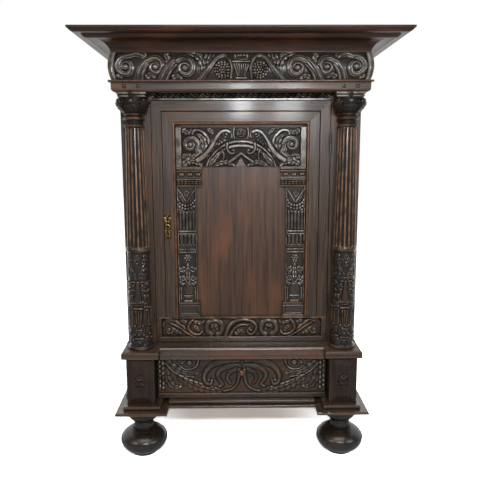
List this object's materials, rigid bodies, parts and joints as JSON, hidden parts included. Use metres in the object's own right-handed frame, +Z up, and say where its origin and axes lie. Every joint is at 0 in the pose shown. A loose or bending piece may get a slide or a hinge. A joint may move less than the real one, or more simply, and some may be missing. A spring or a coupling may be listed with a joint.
{
  "type": "bonnetiere cabinet",
  "caption": "Tall carved oak cupboard with a door over a drawer, front columns on pedestals, a carved frieze, a deep cornice and bun feet.",
  "frame": {"origin": "on the floor under the middle of the cabinet's overall box", "axes": "+Z up, -Y towards the front with the door, +X to the right seen from the front"},
  "size_m": [1.23, 0.7, 1.7],
  "materials": {
    "dark_oak": "waxed, nearly black",
    "inside_oak": "dry, unpolished",
    "brass": "aged",
    "iron": "dark, oiled"
  },
  "bodies": {
    "carcase": {"feet_front": "dark_oak", "feet_rear": "dark_oak", "base_board": "inside_oak", "base_moulding": "dark_oak", "base_blocks": "dark_oak", "pedestal_left": "dark_oak", "pedestal_right": "dark_oak", "pedestal_masks": "dark_oak", "waist_board": "inside_oak", "waist_moulding": "dark_oak", "pedestal_cap_left": "dark_oak", "pedestal_cap_right": "dark_oak", "post_front_left": "dark_oak", "post_front_right": "dark_oak", "post_rear_left": "dark_oak", "post_rear_right": "dark_oak", "side_rails_left": "dark_oak", "side_rails_right": "dark_oak", "side_panels_left": "dark_oak", "side_panels_right": "dark_oak", "back_boards": "inside_oak", "top_board": "inside_oak", "shelves": "inside_oak", "shelf_battens": "inside_oak", "drawer_runners": "inside_oak", "lintel": "dark_oak", "column_drum_left": "dark_oak", "column_drum_right": "dark_oak", "column_shaft_left": "dark_oak", "column_shaft_right": "dark_oak", "capital_left": "dark_oak", "capital_right": "dark_oak", "architrave": "dark_oak", "architrave_pegs": "dark_oak", "bead_moulding": "dark_oak", "frieze_front": "dark_oak", "frieze_sides": "dark_oak", "cornice": "dark_oak", "cornice_boards": "inside_oak", "strike_plate": "iron", "hinge_leaves_post": "iron", "hinge_pins": "iron"},
    "door": {"door_stile_left": "dark_oak", "door_stile_right": "dark_oak", "door_rail_top": "dark_oak", "door_rail_bottom": "dark_oak", "door_panel": "dark_oak", "panel_bead": "dark_oak", "arch_board": "dark_oak", "pilasters": "dark_oak", "escutcheon": "brass", "lock_case": "iron", "hinge_leaves_door": "iron"},
    "drawer": {"drawer_front": "dark_oak", "drawer_box": "inside_oak", "drawer_bottom": "inside_oak", "drawer_knob": "dark_oak"},
    "lock_bolt": {"lock_bolt": "iron"}
  },
  "joints": [
    {"name": "door_hinge", "type": "hinge", "parent": "carcase", "child": "door", "pos_m": [0.36225, -0.1243, 0.965], "axis": [0, 0, 1], "range_deg": [0, 85]},
    {"name": "drawer_slide", "type": "slide", "parent": "carcase", "child": "drawer", "axis": [0, -1, 0], "range_m": [0, 0.3]},
    {"name": "lock_bolt_slide", "type": "slide", "parent": "door", "child": "lock_bolt", "axis": [-1, 0, 0], "range_m": [0, 0.012]}
  ]
}
